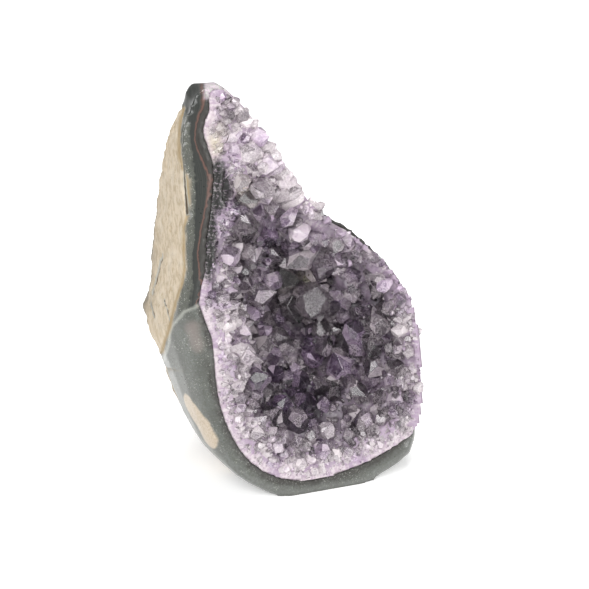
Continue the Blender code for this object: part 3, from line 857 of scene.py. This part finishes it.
def cutCrystal(draw, bevelled):  # one template, of radius 1, with its shoulder at height 0
    shape = crystalShape
    bm = bmesh.new()
    bottom, top = shape["stem"]
    narrow, wide = shape["stemRadii"]
    bmesh.ops.create_cone(
        bm, cap_ends=True, segments=6, radius1=narrow, radius2=wide, depth=top - bottom,
        matrix=Matrix.Translation((0, 0, (bottom + top) / 2)),
    )
    bmesh.ops.scale(bm, vec=(draw.uniform(*shape["squash"]), 1.0, 1.0), verts=bm.verts)
    tilt = shape["faceTilt"]
    apothem = math.cos(math.pi / 6)
    peak = apothem / math.tan(math.pi / 2 - tilt)
    for side in range(6):
        angle = math.pi / 6 + side * math.pi / 3
        normal = Vector((math.cos(angle) * math.sin(tilt), math.sin(angle) * math.sin(tilt), math.cos(tilt)))
        later = draw.uniform(*shape["smallFaces" if side % 2 else "largeFaces"])
        geometry = bm.verts[:] + bm.edges[:] + bm.faces[:]
        cut = bmesh.ops.bisect_plane(
            bm, geom=geometry, plane_co=Vector((0, 0, peak + later)), plane_no=normal, clear_outer=True
        )
        edges = [item for item in cut["geom_cut"] if isinstance(item, bmesh.types.BMEdge)]
        if len(edges) > 2:
            bmesh.ops.contextual_create(bm, geom=edges)
    if bevelled:
        edges = [edge for edge in bm.edges if max(vert.co.z for vert in edge.verts) > 0.0]
        bmesh.ops.bevel(
            bm, geom=edges, offset=shape["bevel"], offset_type="OFFSET", segments=1, profile=0.5,
            affect="EDGES", material=-1,
        )
    bmesh.ops.recalc_face_normals(bm, faces=bm.faces)
    return meshOf("crystalTemplate", bm)


class Growth:
    # Keeps what has grown, so that a new crystal can tell how close its neighbours are.
    def __init__(self):
        self.cells, self.size = {}, 6 * mm
        self.crystals = []

    def cell(self, place):
        return tuple(math.floor(value / self.size) for value in place)

    def hasRoom(self, place, radius, packing):
        x, y, z = self.cell(place)
        reach = range(-1, 2)
        for key in [(x + i, y + j, z + k) for i in reach for j in reach for k in reach]:
            for other, otherRadius in self.cells.get(key, ()):
                if (other - place).length < (radius + otherRadius) * packing:
                    return False
        return True

    def add(self, place, axis, radius, shoulder, kind):
        self.cells.setdefault(self.cell(place), []).append((place, radius))
        self.crystals.append((place, axis, radius, shoulder, kind))


def sizeAt(up, fromRim):  # small crystals by the rim, and larger ones under the peak
    size = 0.5 + 0.5 * smoothStep(*growth["fullSize"], fromRim)
    return size + 0.25 * smoothStep(*growth["peak"], up) * smoothStep(*growth["peakReach"], fromRim)


def growTeeth(grown, fields, draw):
    teeth = rimTeeth
    low, high = teeth["reach"]
    border = [field for field in fields if low < field[2] < high and abs(field[3][2]) < teeth["flat"]]
    for middle, _, distance, _, _ in draw.choices(border, k=teeth["tries"]):
        if darkAt(*pixelOf(middle)) > teeth["darkest"]:
            continue
        radius = draw.uniform(*teeth["radius"]) * mm * (0.7 + 0.3 * smoothStep(1.0, 6.0, distance))
        inwards = middle - cadRind.find_nearest(middle)[0]
        inwards = (inwards - toFront * inwards.dot(toFront)).normalized()
        stray = Vector([draw.gauss(0, teeth["wander"]) for _ in range(3)])
        shoulder = draw.uniform(*teeth["shoulder"])
        middle = middle + inwards * radius * 0.5
        if not grown.hasRoom(middle, radius, teeth["packing"]):
            continue
        axis = (inwards * teeth["inwards"] + toFront * teeth["outwards"] + stray).normalized()
        grown.add(middle - toFront * teeth["sink"] * radius, axis, radius, shoulder, "tooth")


def growChosen(grown, tree, draw):  # those that stand out in the photograph, and those over the edge
    right, upward, _ = axes
    for x, y, radius, shoulder, leanRight, leanUp in heroes:
        hit, normal = seenOn(tree, x, y)
        axis = normal + growth["toOpening"] * 0.5 + right * leanRight + upward * leanUp
        grown.add(hit, axis.normalized(), radius * mm, shoulder, "hero")
    for across, up, radius in edgeCrystals:
        stray = Vector([draw.gauss(0, 0.3) for _ in range(3)])
        hit = tree.find_nearest(onFace(across - 1.0, up - 0.5, 1.0))[0]
        grown.add(hit, (edgeLean + stray).normalized(), radius * mm, 0.1, "edge")


def growCommon(grown, fields, draw):  # the largest first, and each only where it has room
    scatter = growth["scatter"]
    running = list(itertools.accumulate(field[4] for field in fields))
    for low, high, tries, packing, shoulderLow, shoulderHigh in growth["passes"]:
        for middle, normal, distance, spot, _ in draw.choices(fields, cum_weights=running, k=tries):
            radius = draw.uniform(low, high) * sizeAt(spot[1], distance) * mm
            stray = Vector([draw.gauss(0, growth["wander"]) for _ in range(3)])
            shoulder = draw.uniform(shoulderLow, shoulderHigh)
            shoulder -= growth["borderSink"] * (1 - smoothStep(*growth["borderReach"], distance))
            place = middle + Vector([draw.uniform(-scatter, scatter) * mm for _ in range(3)])
            isDark = darkAt(*pixelOf(place)) > growth["darkest"]
            if isDark or not grown.hasRoom(place, radius, packing):
                continue
            axis = (normal + growth["toOpening"] + stray).normalized()
            grown.add(place, axis, radius, shoulder, "common")


def growAll(bedBm, fromRim):
    draw = random.Random(growth["seed"])
    grown = Growth()
    growChosen(grown, BVHTree.FromBMesh(bedBm), draw)
    fields, begins = [], []
    start, end = growth["borderStart"]
    for polygon in bedBm.faces:
        distance = min(fromRim[vert.index] for vert in polygon.verts)
        middle = polygon.calc_center_median()
        ragged = smoothStep(-0.5, 0.5, noise.noise(middle / (6 * mm)))
        if polygon.normal.dot(toFront) > 0.05:
            spot = faceCoordinates(middle)
            fields.append((middle, polygon.normal.copy(), distance, spot, polygon.calc_area()))
            begins.append(start + (end - start) * ragged)
    growTeeth(grown, fields, draw)
    growCommon(grown, [field for field, begin in zip(fields, begins) if field[2] > begin], draw)
    print("crystals:", len(grown.crystals))
    return grown.crystals


def paintedFacetLight(draw):  # painted light and shade of a flat face, as if sent back from inside the crystal: now and then a near-white painted glint
    return crystalShape["paintedGlintTone"] if draw.random() < crystalShape["paintedGlintShare"] else draw.random()


def isUnder(point, tree):  # on the way out, to the right and up, the first face is met from behind
    for way in (Vector((1, 0, 0)), Vector((0, 0, 1))):
        hit, normal, _, _ = tree.ray_cast(point, way)
        if hit is None or normal.dot(way) < 0:
            return False
    return True


def isBuried(point, trees):  # in the bed or the stone, and in the solid of the same part
    return any(isUnder(point, made) and isUnder(point, solid) for made, solid in trees)


def rootEnd(matrix, trees):  # the longest root that stays out of sight, in radii, or None
    ring = [(0.35 * math.cos(turn), 0.35 * math.sin(turn)) for turn in (0.5, 2.6, 4.7)]
    for end in crystalShape["rootEnds"]:
        if all(isBuried(matrix @ Vector((x, y, -end)), trees) for x, y in ring):
            return end
    return None


def coversRind(corners):  # whether a crystal by the rim hides any of the stone from the front
    for corner in corners:
        start = corner + toFront * 8 * mm
        overStone = cadRind.ray_cast(start, -toFront)[3]
        overCrust = cadCrust.ray_cast(start, -toFront)[3]
        if overStone is not None and (overCrust is None or overStone < overCrust):
            return True
    return False


def isInPlace(copy, heights, place, axis, kind, distance):  # in the box, and neither in nor over the stone
    low, high = cadBox
    if not all(low[i] < vert.co[i] < high[i] for vert in copy.vertices for i in range(3)):
        return False
    start = place + axis * 0.3 * mm
    tip = max(zip(heights, copy.vertices), key=lambda pair: pair[0])[1].co
    throughStone = cadRind.ray_cast(start, tip - start, (tip - start).length)[0]
    if throughStone or (kind == "edge" and distance < nearStone["edge"]):
        return False
    x, y = pixelOf(place)
    if distance >= nearStone["reach"] or (x >= nearStone["left"] and y <= nearStone["bottom"]):
        return True
    return not coversRind([
        vert.co for vert, height in zip(copy.vertices, heights) if height > -1.5 or kind == "tooth"
    ])


def placeCrystals(name, crystals, finish, bevelled, trees):
    draw = random.Random(crystalShape["seed"])
    templates = [cutCrystal(draw, bevelled) for _ in range(crystalShape["templates"])]
    bm = bmesh.new()
    values = {key: [] for key in ("tone", "light", "purple", "reach", "cloud", "cream")}
    facetLightAndShade = []
    for place, axis, radius, shoulder, kind in crystals:
        copy = draw.choice(templates).copy()
        heights = [vert.co.z for vert in copy.vertices]
        turn = Matrix.Rotation(draw.uniform(0, math.tau), 4, "Z")
        turn = axis.to_track_quat("Z", "Y").to_matrix().to_4x4() @ turn
        matrix = Matrix.Translation(place + axis * radius * shoulder) @ turn @ Matrix.Scale(radius, 4)
        distance = cadRind.find_nearest(place)[3] / mm
        light = lightnessAt(place, distance)
        draw.random()  # not used: it keeps the order of those that follow
        cloud = smoothStep(0.1, 1.0, light + (draw.random() - 0.5) * 0.5)
        end = rootEnd(matrix, trees)
        if end and kind == "tooth":
            end = min(end, max(0.8 * distance * mm / radius, 0.2))
        for vert in copy.vertices:
            if end and vert.co.z < -end:
                width = crystalShape["rootWidth"]
                vert.co = (vert.co.x * width, vert.co.y * width, -end)
        copy.transform(matrix)
        if end and isInPlace(copy, heights, place, axis, kind, distance):
            bm.from_mesh(copy)
            # Each face gets its own painted light and shade, milder on the teeth.
            for polygon in copy.polygons:
                isNarrow = bevelled and polygon.area < (0.35 * radius) ** 2
                tone = draw.uniform(*crystalShape["paintedBevelLight"]) if isNarrow else paintedFacetLight(draw)
                facetLightAndShade.append(0.5 + (tone - 0.5) * (0.6 if kind == "tooth" else 1.0))
            values["reach"] += [smoothStep(-1.0, 1.1, height) for height in heights]
            # The last face's tone is the whole crystal's as well.
            shared = dict(tone=tone, light=light, purple=noise.noise(place / (9 * mm)) * 0.5 + 0.5)
            shared.update(cloud=cloud, cream=creamAt(place))
            for key, value in shared.items():
                values[key] += [value] * len(heights)
        bpy.data.meshes.remove(copy)
    piece = newPiece(name, bm, finish, ["amethyst_crust"], values)
    # the faces' painted light and shade, painted glints included, go into the facet attribute
    keepValues(piece, "facet", facetLightAndShade, "FACE")
    for template in templates:
        bpy.data.meshes.remove(template)


crystalLook = dict(
    clear=(linear(140, 135, 138), linear(198, 191, 195), linear(236, 230, 232)),
    clearViolet=(linear(112, 88, 126), linear(176, 150, 186), linear(222, 206, 224)),
    cloudy=(linear(56, 50, 55), linear(136, 126, 132), linear(214, 205, 207)),
    cloudyViolet=(linear(56, 40, 68), linear(122, 96, 132), linear(196, 176, 198)),
    veil=linear(218, 211, 214),
    cream=linear(204, 198, 160),
)


def crystalFinish():
    look = crystalLook
    gem = Finish("amethyst")
    spot = gem.place()
    names = ("tone", "purple", "reach", "facet", "light")
    tone, purple, reach, facet, light = [gem.attribute(name) for name in names]
    # facet is each face's painted light and shade, painted glints included: it lightens or darkens the colour
    level = light * 0.85 + (tone - 0.5) * 0.3 + (facet - 0.5) * (0.62 - light * 0.36) + 0.11
    zone = gem.noise(spot, 0.45, 3.0, 0.6)
    hue = (purple + (tone - 0.5) * 0.4 + (zone - 0.5) * 0.6 + reach * 0.1).between(0.45, 1.05)
    mixed = []
    for grey, violet in (("clear", "clearViolet"), ("cloudy", "cloudyViolet")):
        plain, tinted = [gem.ramp(level, list(zip((0.0, 0.5, 1.0), look[key]))) for key in (grey, violet)]
        mixed.append(gem.mix(hue, plain, tinted))
    cream = gem.attribute("cream") * 0.45
    glass, milk = [gem.mix(cream, colour, look["cream"]) for colour in mixed]
    veils = gem.noise(spot, 0.55, 5.0, 0.7, 1.2).near(0.5, 0.045)
    flecks = gem.noise(spot, 2.2, 3.0, 0.7).between(0.56, 0.68)
    milk = gem.mix((veils * 0.5 + flecks * 0.2) * (light * 0.6 + 0.3), milk, look["veil"])
    milk = gem.mix((zone.between(0.5, 0.72) * 0.4) * (1 - light * 0.5), milk, look["cloudyViolet"][0])
    striae = gem.noise(gem.stretched(spot, (0.3, 0.2, 0.5), (1.0, 1.0, 0.25)), 1.2, 2.0)
    normal = gem.bump(striae, 0.05, 0.2 * mm)
    gloss = gem.noise(spot, 0.5, 2.0) * 0.12 + 0.02
    clear = gem.shader(Base_Color=glass, Roughness=gloss, IOR=1.544, Transmission_Weight=1.0, Normal=normal)
    cloudy = gem.shader(Base_Color=milk, Roughness=gloss + 0.06, IOR=1.544, Normal=normal)
    share = gem.attribute("cloud") * 0.5 + veils * 0.35 + (1 - reach) * 0.25 + (zone - 0.5) * 0.3 + 0.2
    # the painted facet light also turns faces more or less cloudy
    share = share + (facet - 0.5) * 0.5
    return gem.surface(gem.blend(share.between(0.0, 1.0), clear, cloudy))


def finishBed(bm, fromRim):
    values = {"fromRim": fromRim, "shade": [], "cream": [], "darkZone": []}
    rimPoints = []
    for vert, distance in zip(bm.verts, fromRim):
        back = faceCoordinates(vert.co)[2]
        values["shade"].append((1 - lightnessAt(vert.co, distance)) * smoothStep(0.5, 4.0, back))
        values["cream"].append(creamAt(vert.co))
        values["darkZone"].append(darkAt(*pixelOf(vert.co)))
        nearest = cadRind.find_nearest(vert.co)[0]
        rimPoints.append(nearest / mm + Vector((0, 0, distance * 0.08)))
    piece = newPiece("quartzBed", bm, bedFinish(), ["amethyst_crust"], values)
    made = piece.data.attributes.new("rimPoint", "FLOAT_VECTOR", "POINT")
    made.data.foreach_set("vector", [value for place in rimPoints for value in place])


bedBm, fromRim = makeBed()
crystals = growAll(bedBm, fromRim)
trees = ((BVHTree.FromBMesh(bedBm), cadCrust), (rindTree, cadRind))
finishBed(bedBm, fromRim)
largeRadius = 2.2 * mm  # larger ones have bevelled edges
largeOnes = [crystal for crystal in crystals if crystal[2] > largeRadius]
smallOnes = [crystal for crystal in crystals if crystal[2] <= largeRadius]
amethyst = crystalFinish()
placeCrystals("largeCrystals", largeOnes, amethyst, True, trees)
placeCrystals("smallCrystals", smallOnes, amethyst, False, trees)

# Floor and light

stage = dict(
    floorSize=6.0,
    floorGap=0.0002,
    floorColour=linear(250, 250, 250),
    floorGlow=0.3,
    world=0.34,
    aim=Vector((0, 0, 0.06)),
    lamps=dict(
        key=dict(place=(-0.65, -0.6, 0.75), size=0.8, power=9.0),
        fill=dict(place=(0.85, -0.55, 0.40), size=0.7, power=5.0),
        top=dict(place=(0.1, 0.25, 1.1), size=0.7, power=8.0),
        front=dict(place=(-0.1, -1.05, 0.75), size=0.5, power=3.0),
    ),
)


def makeStage():
    bm = bmesh.new()
    bmesh.ops.create_grid(bm, x_segments=1, y_segments=1, size=stage["floorSize"] / 2)
    floor = inScene("floor", meshOf("floor", bm))
    floor.location.z = -stage["floorGap"]
    finish, colour = Finish("paleFloor"), stage["floorColour"]
    paint = finish.shader(
        Base_Color=colour, Roughness=0.7, Emission_Color=colour, Emission_Strength=stage["floorGlow"]
    )
    floor.data.materials.append(finish.surface(paint))
    floor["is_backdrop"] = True
    for name, settings in stage["lamps"].items():
        data = bpy.data.lights.new(name, "AREA")
        data.shape = "DISK"
        data.size, data.energy = settings["size"], settings["power"]
        light = inScene(name, data)
        light.location = settings["place"]
        light.rotation_euler = (stage["aim"] - light.location).to_track_quat("-Z", "Y").to_euler()
    world = bpy.data.worlds.new("studio")
    world.use_nodes = True
    background = world.node_tree.nodes["Background"]
    background.inputs["Color"].default_value = (1.0, 1.0, 1.0, 1.0)
    background.inputs["Strength"].default_value = stage["world"]
    bpy.context.scene.world = world
    bpy.context.scene.view_settings.view_transform = "Standard"


makeStage()
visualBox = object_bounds()
lengths = [[round((b - a) / mm, 2) for a, b in zip(*box)] for box in (visualBox, cadBox)]
print("size", lengths[0], "cad", lengths[1])
